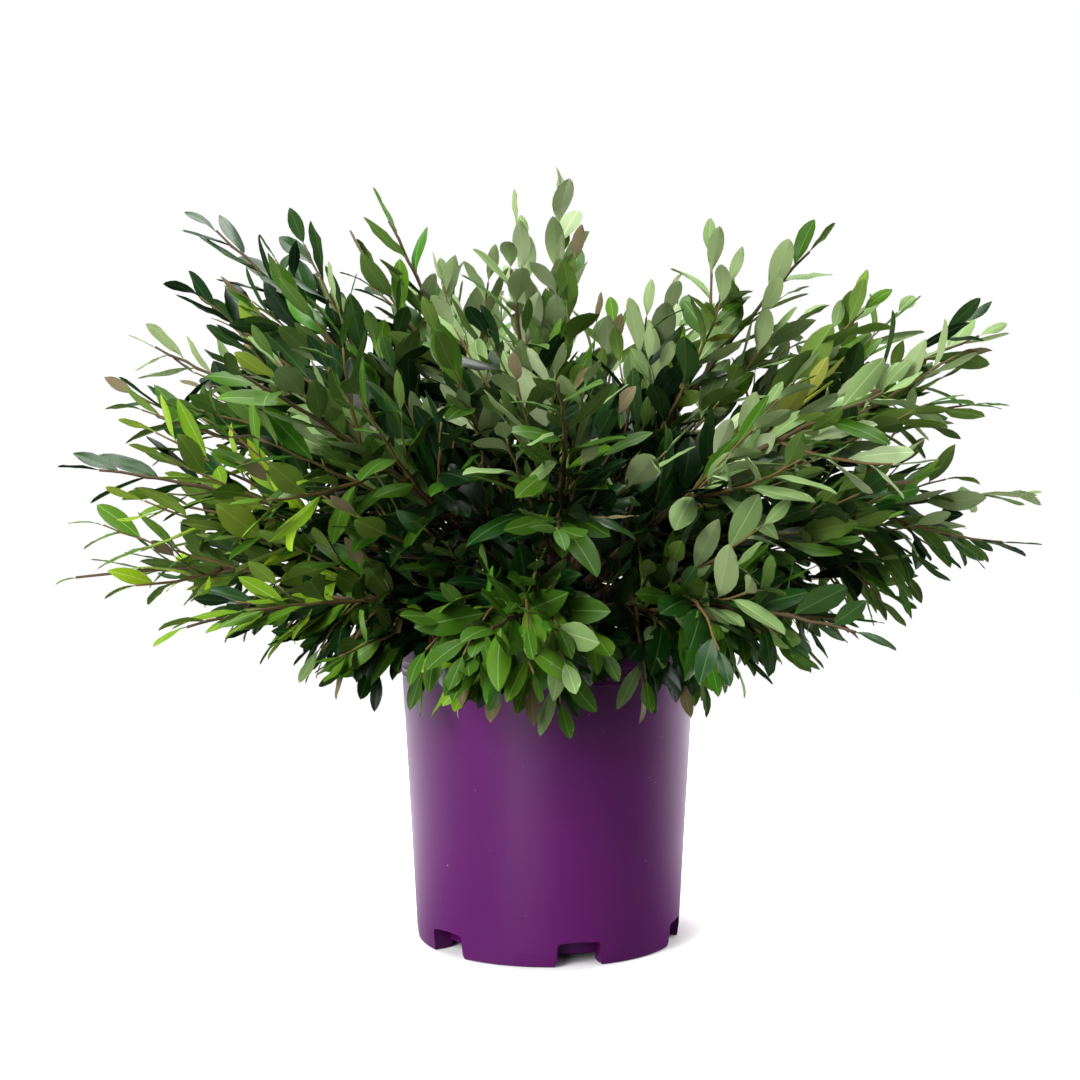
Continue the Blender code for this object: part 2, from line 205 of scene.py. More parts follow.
# Long shoots, and short ones that close the middle of the crown: how many a mass has, between which
# shares of its reach and at which angles they leave the limb, and the lengths that are tried
LEADERS = (10, (0.16, 0.62), (6, 27), (0.25, 0.215, 0.185, 0.155, 0.13, 0.11, 0.09, 0.07, 0.05))
FILLERS = (14, (0.06, 0.36), (20, 85), (0.10, 0.08, 0.065, 0.05, 0.035))
SPIRAL_STRAY = (0.2, 0.8)
LEADER_RISE = {"low": (-0.30, 0.25), "mid": (-0.10, 0.30), "high": (0.0, 0.25), "top": (-0.1, 0.1)}
DROOPERS = 32  # shoots of a low mass that hang over the pot's rim
DROOP_SHARES = (0.20, 0.56)
DROOP_FAN = 42  # degrees to either side of the mass
DROOP_SLOPES = (-5, 30)  # degrees above the horizon at which they leave the limb
DROOP_RISE = (-1.15, -0.55)
DROOP_LENGTHS = (0.115, 0.10, 0.085, 0.07, 0.055)
DROOP_MERGE = 0.060  # how far they may hang into a neighbour's space
TIP_ROOM = 0.020  # kept free beyond a shoot for its last leaf
TIP_CLEAR = {"long": 0.041, "hanging": 0.021, "fine": 0.026}  # between the tips of two shoots of a kind
MERGE = 0.022  # how far twigs and leaves may stand into a neighbour's space
LEAF_OVER = 0.023  # how much further its leaves may
LEAF_SLACK = 0.030  # how far a leaf may stand past its mass's lobe
REACH_SLACK = 0.003  # and past its mass's reach
FINE_INSET = 0.042  # how far inside the lobe the finer twigs end, so that the long shoots stand out
FINE_SPACING = 0.050
FINE_STRAY = (0.8, 1.25)
FINE_START = 0.22  # share of a twig before its first finer one
FINE_ANGLE = (22, 38)
FINE_SHARE = 0.55  # length of a finer twig, as a share of what is left of its bearer
FINE_LENGTHS = (0.035, 0.080)
LENGTH_STRAY = (0.8, 1.15)
FINE_TRIES = (1, 0.75, 0.5)
RADII = ((0.0025, 0.0008), (0.0014, 0.0006), (0.0009, 0.0005))  # of stems, twigs and finer twigs
NODE_SWELL = 1.3
ZIGZAG = 0.0007
ZIGZAG_RADIUS = 0.001  # below this a twig zigzags less
TWIG_STEP = 0.004  # leaves this far apart have a point of the twig between them
TWIG_SIDES = 6
STEEP = 0.3  # how level the crossing of a shoot and the vertical is, where the shoot counts as upright

# Leaves
LEAF_LENGTH = 0.051
LEAF_SIZES = (0.78, 1.16)
LEAF_ASPECT = (0.33, 0.43)
PETIOLE = 0.0035
LEAF_SPACING = 0.0155
SPACING_STRAY = (0.92, 1.08)
LEAF_START = 0.010
LEAF_LEAN = (46, 24)  # degrees from the twig, at its root and near its tip
TIP_LEAN = (0, 12)
LEAN_STRAY = 8
ROLL_STRAY = 14
RANK_STRAY = 50
LEAF_LIGHT = (0.7, 0.45, 0.35)  # how far a blade faces up, along its twig and out of the crown
LIGHT_STRAY = 0.30
TIP_SIZES = (0.56, 0.74, 0.90, 1.0)  # of the last leaf, and of those before it
LEAF_TRIES = 5
TRY_SHRINK = 0.12  # how much smaller a leaf is at each further try
LEAFY = 0.5  # a shoot that bears less than this share of its leaves is left out
LEAF_CLEAR = 0.0052  # between the midlines of two leaves
MIDLINE = (0.4, 0.7, 1.0)
WIDEST = (0.55, 0.22)  # how far along a leaf its sides are tested, and how far out
BEND = (-0.25, 0.75)  # radians that a blade curves back along its length
LEAST_BEND = 0.02
FOLD = (0.10, 0.50)  # radians that each half is lifted
TWIST = 0.45
SICKLE = 0.05
WAVE = 0.10
WAVE_BEATS = (1.2, 2.6)
WAVE_LAG = 0.8
CUPPING = 0.35  # how much each half curves down towards its edge
TIP_SHAPE = (0.70, 1.00)  # from blunt to acute
BASE_SHAPE = (0.82, 1.1)
RIB_HALF = 0.00042
RIB_SHARE = 0.35  # of the blade's width at most
BLADE_LEAST = (0.0004, 1.6)  # half the width of a blade at least, and how many times the rib's
KEEL = 1.3  # width of the rib's underside, in ribs
BLADE_DEPTH = 0.00035
RIB_DEPTH = 0.0006
RIB_FADE = 0.8
QUILT = 0.00026
LEAF_SHARP = 70
ALONG = np.array((0.0, 0.08, 0.20, 0.36, 0.52, 0.68, 0.83, 0.94))
QUILTED = 0.55  # where across a blade its quilting lies
ACROSS = np.array((-1.0, -QUILTED, 0.0, 0.0, QUILTED, 1.0))

# Leaf tones: upper side, underside and midrib in linear colour, and roughness of the upper side
TONES = {
    "fresh": ((0.034, 0.128, 0.006), (0.088, 0.165, 0.032), (0.105, 0.225, 0.045), 0.30),
    "grass": ((0.062, 0.150, 0.008), (0.118, 0.195, 0.036), (0.135, 0.245, 0.050), 0.38),
    "moss": ((0.032, 0.088, 0.006), (0.082, 0.140, 0.032), (0.090, 0.165, 0.040), 0.38),
    "lime": ((0.200, 0.330, 0.012), (0.255, 0.370, 0.045), (0.320, 0.440, 0.070), 0.38),
    "leek": ((0.118, 0.230, 0.010), (0.178, 0.280, 0.045), (0.225, 0.345, 0.060), 0.38),
    "olive": ((0.145, 0.175, 0.012), (0.195, 0.215, 0.040), (0.255, 0.260, 0.058), 0.42),
    "deep": ((0.006, 0.036, 0.003), (0.030, 0.070, 0.018), (0.048, 0.095, 0.026), 0.33),
    # The next tone is painted shade: near-black leaves that stand for the shade between leaves
    "night": ((0.002, 0.014, 0.002), (0.011, 0.031, 0.010), (0.022, 0.045, 0.016), 0.34),
    "grey": ((0.150, 0.240, 0.080), (0.240, 0.318, 0.142), (0.262, 0.345, 0.155), 0.50),
    "sage": ((0.220, 0.298, 0.140), (0.305, 0.372, 0.205), (0.325, 0.395, 0.220), 0.55),
    "copper": ((0.115, 0.098, 0.045), (0.180, 0.150, 0.085), (0.190, 0.140, 0.070), 0.50),
}
GLOSSY = 0.35  # leaves smoother than this are glossy
LEAF_SPECULAR = (0.24, 0.09)  # of glossy leaves and of others
UNDER_FINISH = (0.62, 0.0)  # roughness and specular
RIB_FINISH = (0.5, 0.15)
TWIG_FINISH = (0.6, 0.2)
ZONE_FALL = 1.6  # standard deviations in a zone's radius
# Besides the leaves' own colours, the zones paint light: the palest tones lie at the top of the crown, and
# painted shade leaves lie among the outer ones on the left
ZONES = (  # centre in X and Z, radius, and how often each tone is dealt there
    ((-0.27, 0.46), 0.09, dict(fresh=4, moss=2, deep=6, grey=1.2, night=2.5)),
    ((-0.27, 0.36), 0.08, dict(leek=5, lime=6, grass=3, fresh=3, deep=3, night=1)),
    ((-0.25, 0.26), 0.09, dict(grass=3, deep=5, leek=4, fresh=3, lime=3, night=2)),
    ((-0.12, 0.46), 0.09, dict(moss=2, grey=4, fresh=2, sage=0.7, deep=3, night=1)),
    ((0.02, 0.50), 0.10, dict(sage=9, grey=4)),
    ((0.00, 0.38), 0.09, dict(moss=4, grey=4, grass=2, deep=1.5)),
    ((-0.05, 0.25), 0.09, dict(moss=3, grass=4, deep=2, fresh=2, leek=1.5, grey=1)),
    ((0.16, 0.45), 0.09, dict(grey=5, sage=1, leek=1, olive=0.7, grass=2.5, moss=2.5)),
    ((0.15, 0.35), 0.08, dict(grey=6, grass=2, sage=2, moss=1.5)),
    ((0.30, 0.40), 0.09, dict(grey=4, sage=1, grass=2, moss=2.5, deep=1)),
    ((0.24, 0.26), 0.10, dict(grass=3, moss=3, deep=5, fresh=2)),
    ((0.00, 0.16), 0.09, dict(deep=2, moss=3, fresh=4, grass=4, leek=1.5, grey=1.5)),
)
# Painted shade: dark and near-black tones for the leaves deep inside the crown, where shade falls
PAINTED_SHADE_TONES = dict(night=5, deep=4, moss=1)
PAINTED_SHADE_DEPTH = (0.36, 0.60)  # shares of the reach between which the painted shade tones give way to the zones'
BESIDE = dict(  # the tone of an odd leaf in a spray
    fresh="moss", grass="moss", moss="grass", lime="leek", leek="grass",
    olive="leek", deep="night", night="deep", grey="moss", sage="grey",
)
ODD_LEAVES = 0.25
COPPER_TIPS = 0.12  # share of shoots whose last leaf is coppery

# Finishes: shades are (place in the noise, colour), and a noise is (scale, detail, roughness)
POT_COLOUR = (0.084, 0.0065, 0.094)
POT_CLOUDS = ((0.3, 0.92), (0.7, 1.08))  # how dark or light the colour is there
POT_ROUGHNESS = (0.30, 0.35)
POT_SPECULAR = 0.24
WALL_WAVES = (14, 14, 30)
DUST_RANGE = (0.80, 0.83)
DUST_SHADES = ((0.0, (0.32, 0.20, 0.32)), (1.0, (0.36, 0.24, 0.36)))
MIX_SHADES = ((0.30, (0.010, 0.006, 0.004)), (0.55, (0.035, 0.020, 0.012)), (0.80, (0.085, 0.050, 0.028)))
CHIP_SHADES = ((0.3, (0.030, 0.016, 0.009)), (0.5, (0.085, 0.045, 0.022)), (0.7, (0.170, 0.100, 0.052)))
BARK_SHADES = ((0.3, (0.055, 0.032, 0.018)), (0.5, (0.120, 0.070, 0.038)), (0.72, (0.210, 0.140, 0.085)))
PORE_SCALE = 420
PORE_SIZE = (0.10, 0.22)
PORE_SHADES = ((0.0, (0.300, 0.220, 0.140)), (1.0, (0.360, 0.270, 0.180)))
EARTHY = {  # noise and shades of the patches, range of roughness, noise, strength and depth of the relief
    "potting_mix": ((160, 4, 0.6), MIX_SHADES, (0.82, 0.98), (420, 3, 0.5), 0.7, 0.0010),
    "bark_chips": ((60, 2, 0.5), CHIP_SHADES, (0.90, 0.90), (900, 2, 0.5), 0.5, 0.0005),
    "bark": ((90, 4, 0.6), BARK_SHADES, (0.72, 0.90), (650, 3, 0.6), 0.6, 0.0006),
}
# By age, oldest first
TWIG_TONES = {"stem": (0.075, 0.050, 0.023), "tan": (0.125, 0.083, 0.029), "green": (0.100, 0.110, 0.030)}

# Studio
CAMERA_PLACE = (-0.006, -1.13, 0.2947)
LENS = 50
SENSOR = 36
CLIP_START = 0.01
WHITE = (1, 1, 1, 1)
FLOOR_COLOUR = (0.88, 0.88, 0.88, 1)
FLOOR_ROUGHNESS = 0.9
FLOOR_RADIUS = 1.5
FLOOR_SEGMENTS = 96
FLOOR_DROP = 0.0002
FLOOR_BOUNCE = (0.10, 0.95)  # how much light it throws back in front of the pot and behind it
FLOOR_TURN = (-0.25, 0.30)  # along Y, between the two
FLOOR_SHEEN = (  # shares of a turn from the left through the front, and how bright it is there in gloss
    (0.00, 0.58), (0.04, 0.42), (0.09, 0.34), (0.14, 0.40), (0.19, 0.90), (0.225, 0.70), (0.27, 0.25),
    (0.45, 0.14), (0.50, 0.30), (0.57, 0.60), (0.72, 0.62), (0.90, 0.72), (1.00, 0.58),
)
FLOOR_GLOW = 0.45
GLOW_START = (0.090, 0.120)  # radii between which the glow fades in, outside the shade under the pot
AMBIENT = (0.07, 1.2)  # brightness of the surroundings behind the camera and behind the plant
AMBIENT_TURN = (0.0, 0.75)  # along Y, between the two
GLOSS_AMBIENT = 0.45  # share of it that shows in gloss
SOFTBOXES = {  # place, target, size, power, and whether it shows in gloss
    "key": ((-1.45, -1.75, 1.40), (0, 0, 0.35), (0.90, 1.3), 83, True),
    "strip": ((-0.75, -1.75, 0.45), (0, 0, 0.15), (0.45, 0.9), 14, True),
    "fill": ((1.90, -0.90, 0.95), (0, 0, 0.30), (1.20, 1.0), 9, True),
    "rim_left": ((-1.50, 0.90, 0.40), (0, 0, 0.15), (1.20, 0.8), 28, False),
    "rim_right": ((1.40, 1.10, 0.25), (0, 0, 0.13), (1.20, 0.5), 56, False),
    "top": ((0.20, 0.10, 2.40), (0, 0, 0.30), (2.20, 1.8), 104, True),
}


# Materials


class Graph:
    """Adds and links shader nodes."""

    def __init__(self, tree):
        self.tree = tree
        self.coordinates = tree.nodes.new("ShaderNodeTexCoord")
        self.place = self.coordinates.outputs["Object"]

    def set(self, node, inputs):
        """Gives each input of the node its value, or links it to the socket that feeds it."""
        for key, value in inputs.items():
            if isinstance(value, bpy.types.NodeSocket):
                self.tree.links.new(value, node.inputs[key])
            else:
                node.inputs[key].default_value = value
        return node

    def add(self, kind, inputs=None, **settings):
        node = self.tree.nodes.new(kind)
        for name, value in settings.items():
            setattr(node, name, value)
        return self.set(node, inputs or {})

    def noise(self, scale, detail, roughness=0.5, stretch=(1, 1, 1)):
        vector = self.add("ShaderNodeMapping", {"Vector": self.place, "Scale": stretch}).outputs[0]
        inputs = {"Vector": vector, "Scale": scale, "Detail": detail, "Roughness": roughness}
        return self.add("ShaderNodeTexNoise", inputs).outputs["Fac"]

    def gradient(self, kind):
        return self.add("ShaderNodeTexGradient", {"Vector": self.place}, gradient_type=kind).outputs["Fac"]

    def ramp(self, factor, stops):
        node = self.add("ShaderNodeValToRGB", {"Fac": factor})
        band = node.color_ramp
        while len(band.elements) < len(stops):
            band.elements.new(0.5)
        for element, (place, colour) in zip(band.elements, stops):
            element.position = place
            element.color = (*colour, 1)
        return node.outputs["Color"]

    def range(self, value, low, high, start=0.0, end=1.0, **settings):
        inputs = {"Value": value, "From Min": start, "From Max": end, "To Min": low, "To Max": high}
        return self.add("ShaderNodeMapRange", inputs, **settings).outputs["Result"]

    def mix(self, factor, first, second):
        return self.add("ShaderNodeMix", {0: factor, 6: first, 7: second}, data_type="RGBA").outputs[2]

    def bump(self, height, strength, depth, **below):
        inputs = {"Height": height, "Strength": strength, "Distance": depth, **below}
        return self.add("ShaderNodeBump", inputs).outputs["Normal"]

    def split(self, path, unseen, seen, output):
        """Gives camera rays the one shader and all other rays the other."""
        inputs = {0: path.outputs["Is Camera Ray"], 1: unseen.outputs[0], 2: seen.outputs[0]}
        self.set(self.tree.nodes[output], {"Surface": self.add("ShaderNodeMixShader", inputs).outputs[0]})


def new_material(name):
    made = bpy.data.materials.new(name)
    made.use_nodes = True
    return made, made.node_tree.nodes["Principled BSDF"]


def plain_material(name, colour, roughness, specular):
    """A finish of one colour, for pieces whose tones are dealt out by spray."""
    made, shader = new_material(name)
    shader.inputs["Base Color"].default_value = (*colour, 1)
    shader.inputs["Roughness"].default_value = roughness
    shader.inputs["Specular IOR Level"].default_value = specular
    return made


def pot_plastic():
    """Satin moulded plastic: cloudy colour, a slightly wavy wall, orange-peel and a little dust."""
    made, shader = new_material("pot_plastic")
    graph = Graph(made.node_tree)
    cloud = graph.noise(scale=9, detail=4)
    shades = [(place, tuple(factor * channel for channel in POT_COLOUR)) for place, factor in POT_CLOUDS]
    dust = graph.range(graph.noise(scale=420, detail=1), 0, 1, *DUST_RANGE)
    wavy = graph.bump(graph.noise(scale=1, detail=1, stretch=WALL_WAVES), strength=0.10, depth=0.0006)
    peel = graph.bump(graph.noise(scale=900, detail=2), strength=0.05, depth=0.0002, Normal=wavy)
    graph.set(shader, {
        "Base Color": graph.mix(dust, graph.ramp(cloud, shades), graph.ramp(cloud, DUST_SHADES)),
        "Roughness": graph.range(cloud, *POT_ROUGHNESS, start=0.3, end=0.7),
        "Specular IOR Level": POT_SPECULAR,
        "Normal": peel,
    })
    return made


def earthy(name):
    """A rough finish with patches of colour and relief; bark has pale pores too."""
    patches, shades, (low, high), relief, strength, depth = EARTHY[name]
    made, shader = new_material(name)
    graph = Graph(made.node_tree)
    field = graph.noise(*patches)
    colour = graph.ramp(field, shades)
    if name == "bark":
        cells = graph.add("ShaderNodeTexVoronoi", {"Vector": graph.place, "Scale": PORE_SCALE})
        pores = graph.range(cells.outputs["Distance"], 1, 0, *PORE_SIZE)
        colour = graph.mix(pores, colour, graph.ramp(field, PORE_SHADES))
    graph.set(shader, {
        "Base Color": colour,
        "Roughness": low if low == high else graph.range(field, low, high),
        "Normal": graph.bump(graph.noise(*relief), strength, depth),
    })
    return made


# Meshes


def add_object(name, data, *materials):
    obj = bpy.data.objects.new(name, data)
    for made in materials:
        data.materials.append(made)
    bpy.context.scene.collection.objects.link(obj)
    return obj


def mesh_of(name, bm):
    bmesh.ops.recalc_face_normals(bm, faces=bm.faces)
    mesh = bpy.data.meshes.new(name)
    bm.to_mesh(mesh)
    bm.free()
    return mesh


def smooth(mesh, sharp_from):
    """Smooth shading, with edges of more than that many degrees kept sharp."""
    mesh.shade_smooth()
    mesh.set_sharp_from_angle(angle=math.radians(sharp_from))


def apply_modifiers(obj):
    """Gives the object its mesh with the modifiers applied."""
    evaluated = obj.evaluated_get(bpy.context.evaluated_depsgraph_get())
    result = bpy.data.meshes.new_from_object(evaluated)
    obj.modifiers.clear()
    obj.data = result


def piece(obj, slot, *nodes):
    """Joins a dressed piece to the body in place of the nodes; the slot is not used."""
    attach(obj, BODY)
    if nodes:
        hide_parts(*nodes)


def polar(azimuth, elevation):
    """The unit vector at that azimuth from +X and elevation above the horizon, in degrees."""
    a, e = math.radians(azimuth), math.radians(elevation)
    return Vector((math.cos(e) * math.cos(a), math.cos(e) * math.sin(a), math.sin(e)))


def curve(start, middle, end, steps=5):
    """Points of a quadratic curve from start to end that heads for the middle."""
    shares = [n / steps for n in range(steps + 1)]
    return [start * (1 - t) ** 2 + middle * (2 * t * (1 - t)) + end * t ** 2 for t in shares]


def circle(count):
    """Cosine and sine at even steps of a full turn."""
    return [(math.cos(turn), math.sin(turn)) for turn in (math.tau * k / count for k in range(count))]


def bridge(bm, rings):
    """Faces between each ring of vertices and the next."""
    for lower, upper in zip(rings, rings[1:]):
        for k in range(len(lower)):
            n = (k + 1) % len(lower)
            bm.faces.new((lower[k], lower[n], upper[n], upper[k]))


def close_ends(bm, rings):
    bm.faces.new(reversed(rings[0]))
    bm.faces.new(rings[-1])


def tube_into(bm, path, radii, sides, first=None):
    """Adds a tube with flat ends along the path."""
    rings = []
    across = (path[1] - path[0]).orthogonal()
    for i, (point, radius) in enumerate(zip(path, radii)):
        ahead = (path[min(i + 1, len(path) - 1)] - path[max(i - 1, 0)]).normalized()
        if i == 0 and first:
            ahead = first
        across = (across - ahead * across.dot(ahead)).normalized()
        other = ahead.cross(across)
        rings.append([bm.verts.new(point + (across * c + other * s) * radius) for c, s in circle(sides)])
    bridge(bm, rings)
    close_ends(bm, rings)


# Pot and potting mix


def wall_radius(height):
    """Outer radius of the pot's wall."""
    return FOOT_RADIUS + WALL_TAPER * height


def rounded(corners):
    """A closed outline with its corners rounded; each corner is (across, up, radius)."""
    outline = []
    count = len(corners)
    for k, (x, y, radius) in enumerate(corners):
        here = Vector((x, y))
        if radius == 0:
            outline.append(here)
            continue
        before = Vector(corners[k - 1][:2]) - here
        after = Vector(corners[(k + 1) % count][:2]) - here
        half = before.angle(after) / 2
        cut = min(radius / math.tan(half), before.length * MOST_CUT, after.length * MOST_CUT)
        outline += curve(here + before.normalized() * cut, here, here + after.normalized() * cut)
    return outline


def lathe(name, outline, segments):
    """A solid turned about Z from a closed outline whose points are (radius, height)."""
    bm = bmesh.new()
    spokes = circle(segments)
    rings = [[bm.verts.new((r * c, r * s, height)) for c, s in spokes] for r, height in outline]
    bridge(bm, [*rings, rings[0]])
    return mesh_of(name, bm)


def turned(name, bm, azimuth):
    """The mesh of what stands on +X, turned about Z to the azimuth."""
    turn = Matrix.Rotation(math.radians(azimuth), 3, "Z")
    bmesh.ops.rotate(bm, verts=bm.verts, cent=(0, 0, 0), matrix=turn)
    return mesh_of(name, bm)


def box(name, size, place, azimuth):
    bm = bmesh.new()
    bmesh.ops.create_cube(bm, size=1, matrix=Matrix.Translation(place) @ Matrix.Diagonal((*size, 1)))
    return turned(name, bm, azimuth)


def notch_cutter(azimuth):
    """A bar with rounded upper corners and flared feet that cuts one notch of the pot's foot."""
    half = NOTCH_WIDTH / 2
    flare = NOTCH_ROUND / 2
    shoulder, middle = NOTCH_HEIGHTS
    left = [
        (-half - flare, -CUT_PAST, 0),
        (-half - flare, 0, 0.0004),
        (-half, 2 * flare, 0.0016),
        (-half, shoulder, NOTCH_ROUND),
    ]
    right = [(-x, y, radius) for x, y, radius in reversed(left)]
    outline = rounded([*left, (0, middle, 0.05), *right])
    bm = bmesh.new()
    ends = (FOOT_RADIUS + CUT_PAST, NOTCH_INNER)
    rings = [[bm.verts.new((x, *point)) for point in outline] for x in ends]
    bridge(bm, rings)
    close_ends(bm, rings)
    return turned("notch", bm, azimuth)


def foot_web(azimuth, side, top):
    """A plate in the channel that closes one side of the notch at that azimuth."""
    start, end = WEB_ENDS
    aside = side * (NOTCH_WIDTH / 2 + WEB_CLEAR + WEB / 2)
    place = ((start + end) / 2, aside, (top + WEB_LIFT) / 2)
    return box("web", (end - start, WEB, top - WEB_LIFT), place, azimuth)


def combine(obj, operation, meshes):
    """One Boolean of the object with all the meshes."""
    helpers = bpy.data.collections.new("helpers")
    bpy.context.scene.collection.children.link(helpers)
    for mesh in meshes:
        helpers.objects.link(bpy.data.objects.new("helper", mesh))
    modifier = obj.modifiers.new("combine", "BOOLEAN")
    modifier.operation = operation
    modifier.operand_type = "COLLECTION"
    modifier.collection = helpers
    modifier.solver = "EXACT"
    apply_modifiers(obj)
    for helper in list(helpers.objects):
        bpy.data.objects.remove(helper)
    bpy.data.collections.remove(helpers)


def slot_cutter(azimuth):
    """A bar that cuts the drain slot behind a notch."""
    return box("slot", DRAIN_SLOT, (DRAIN_RADIUS, 0, 0), azimuth)


def make_pot():
    """The pot; each corner of its outline is (radius, height, rounding)."""
    channel_top = FLOOR_UNDERSIDE + STEP_HEIGHT
    lip_bottom = POT_HEIGHT - LIP_HEIGHT
    roof = POT_HEIGHT - WALL
    inner = wall_radius(roof) - WALL
    ribs = []
    for height in RIBS:
        ribs += [
            (wall_radius(height - RIB_HEIGHT), height - RIB_HEIGHT, 0.0004),
            (wall_radius(height) + RIB_PROUD, height - RIB_HEIGHT / 2, 0.0005),
            (wall_radius(height) + RIB_PROUD, height + RIB_HEIGHT / 2, 0.0005),
            (wall_radius(height + RIB_HEIGHT), height + RIB_HEIGHT, 0.0004),
        ]
    corners = [
        (PINHOLE, FLOOR_UNDERSIDE, 0),
        (STEP_RADIUS, FLOOR_UNDERSIDE, 0.0010),
        (STEP_RADIUS, channel_top, 0.0010),
        (FOOT_RADIUS - 2 * WALL, channel_top, 0.0012),
        (FOOT_RADIUS - 2 * WALL, 0, 0.0006),
        (FOOT_RADIUS - EDGE_INSET, 0, FOOT_ROUND),
        (wall_radius(TAPER_START), TAPER_START, 0.006),
        *ribs,
        (wall_radius(roof), roof, 0.0006),
        (LIP_RADIUS - WALL, roof, 0.0008),
        (LIP_RADIUS - WALL, lip_bottom, 0.0005),
        (LIP_RADIUS - EDGE_INSET, lip_bottom, 0.0007),
        (LIP_RADIUS, POT_HEIGHT - LIP_BEND, LIP_BEND),
        (LIP_RADIUS, POT_HEIGHT, RIM_ROUND),
        (inner, POT_HEIGHT, RIM_ROUND),
        (wall_radius(channel_top + WALL) - WALL, channel_top + WALL, 0.002),
        (STEP_RADIUS - WALL, channel_top + WALL, 0.001),
        (STEP_RADIUS - WALL, FLOOR_UNDERSIDE + WALL, 0.001),
        (PINHOLE, FLOOR_UNDERSIDE + WALL, 0),
    ]
    pot = add_object("pot_body", lathe("pot_body", rounded(corners), POT_SEGMENTS))
    azimuths = [NOTCH_FIRST + 360 * k / NOTCHES for k in range(NOTCHES)]
    sides = [(azimuth, side) for azimuth in azimuths for side in (-1, 1)]
    combine(pot, "UNION", [foot_web(*side, channel_top + WALL / 2) for side in sides])
    cutters = [cutter(azimuth) for azimuth in azimuths for cutter in (notch_cutter, slot_cutter)]
    combine(pot, "DIFFERENCE", cutters)
    pot.data.materials.append(pot_plastic())
    smooth(pot.data, POT_SHARP)
    piece(pot, "pot_plastic", "pot")


def mix_height(radius):
    """Height of the mix before its relief."""
    edge = wall_radius(MIX_TOP) - WALL - MIX_GAP
    return MIX_TOP - MIX_FALL * max(0, (radius - MIX_FLAT) / (edge - MIX_FLAT))


def make_mix():
    """The mix's body, lumpy on top."""
    inset = WALL + MIX_GAP
    base = FLOOR_UNDERSIDE + inset
    step = base + STEP_HEIGHT
    edge = wall_radius(MIX_TOP) - inset
    profile = [(STEP_RADIUS - inset, base), (STEP_RADIUS - inset, step), (wall_radius(step) - inset, step)]
    profile += [(edge * k / MIX_RINGS, None) for k in range(MIX_RINGS, 0, -1)]
    bm = bmesh.new()
    rings = []
    for radius, height in profile:
        rings.append([])
        for c, s in circle(MIX_SPOKES):
            x, y, z = radius * c, radius * s, height
            if height is None:
                lumps = [high * noise.noise(Vector((x, y, at)) * dense) for dense, at, high in MIX_LUMPS]
                z = mix_height(radius) - MIX_RELIEF * (MIX_SINK - sum(lumps))
            rings[-1].append(bm.verts.new((x, y, z)))
    bridge(bm, rings)
    close_ends(bm, rings)
    body = add_object("mix_body", mesh_of("mix_body", bm), earthy("potting_mix"))
    smooth(body.data, MIX_SHARP)
    piece(body, "potting_mix", "potting_mix")


def make_chips():
    """Chips of bark that lie on the mix."""
    rng = random.Random(SEED)
    most = wall_radius(MIX_TOP) - WALL - MIX_GAP - CHIP_INSET
    bm = bmesh.new()
    for _ in range(CHIPS):
        radius = most * math.sqrt(rng.random())
        turn = rng.uniform(0, math.tau)
        size = rng.uniform(*CHIP_SIZE)
        shape = Vector((size, *(size * rng.uniform(*side) for side in CHIP_SIDES)))
        height = mix_height(radius) - MIX_RELIEF * CHIP_SINK
        place = Vector((radius * math.cos(turn), radius * math.sin(turn), height))
        tilts = [Matrix.Rotation(rng.gauss(0, CHIP_TILT), 3, axis) for axis in "XY"]
        way = Matrix.Rotation(rng.uniform(0, math.tau), 3, "Z") @ tilts[0] @ tilts[1]
        made = bmesh.ops.create_icosphere(bm, subdivisions=1, radius=0.5)
        for vert in made["verts"]:
            jitter = Vector([rng.uniform(*CHIP_JITTER) for _ in range(3)])
            vert.co = place + way @ (vert.co * jitter * shape)
    chips = add_object("mix_chips", mesh_of("mix_chips", bm), earthy("bark_chips"))
    piece(chips, "potting_mix")


# Crown


class Mass:
    """One mass of foliage and the bough that carries it."""

    def __init__(self, name, index, azimuth, elevation, reach):
        self.name = name
        self.azimuth = azimuth
        self.elevation = elevation
        self.reach = reach
        self.arch = ARCH * math.cos(math.radians(elevation))
        self.phase = index * GOLDEN_ANGLE
        self.way = polar(azimuth, elevation)
        self.axis = polar(azimuth, elevation + self.arch * ARCH_MIDDLE)
        self.ring = name.split("_")[0]
        self.rng = random.Random(SEED + index)
        self.fine_rng = random.Random(FINE_SEED + index)

    def point(self, share):
        """The limb's centre line at that share of the reach."""
        wander = WANDER * math.sin(math.pi * share) * math.sin(self.phase)
        elevation = self.elevation + self.arch * (1 - share)
        return FORK + polar(self.azimuth + wander, elevation) * (self.reach * share)

    def path(self, start, end):
        shares = [start + (end - start) * k / BOUGH_STEPS for k in range(BOUGH_STEPS + 1)]
        return [self.point(share) for share in shares]


def make_masses():
    masses = []
    for ring, (azimuths, elevations, reaches) in RINGS.items():
        for k, place in enumerate(zip(azimuths, elevations, reaches)):
            masses.append(Mass(f"{ring}_{k + 1}", len(masses), *place))
    for mass in masses:
        others = [other for other in masses if other is not mass]
        mass.borders = [(mass.axis - other.axis).normalized() for other in others]
    return masses


def in_fine_lobe(out, mass, slack=0.0):
    cosine = min(1.0, out.normalized().dot(mass.way))
    by_angle, by_cosine = FINE_LOBE
    return out.length <= mass.reach * (1 - by_angle * math.acos(cosine) - by_cosine * (1 - cosine)) + slack


def in_box(point):
    """Whether the point is well inside the solids' box."""
    low, high = CAD_BOX
    return all(a + BOX_MARGIN <= value <= b - BOX_MARGIN for a, value, b in zip(low, point, high))


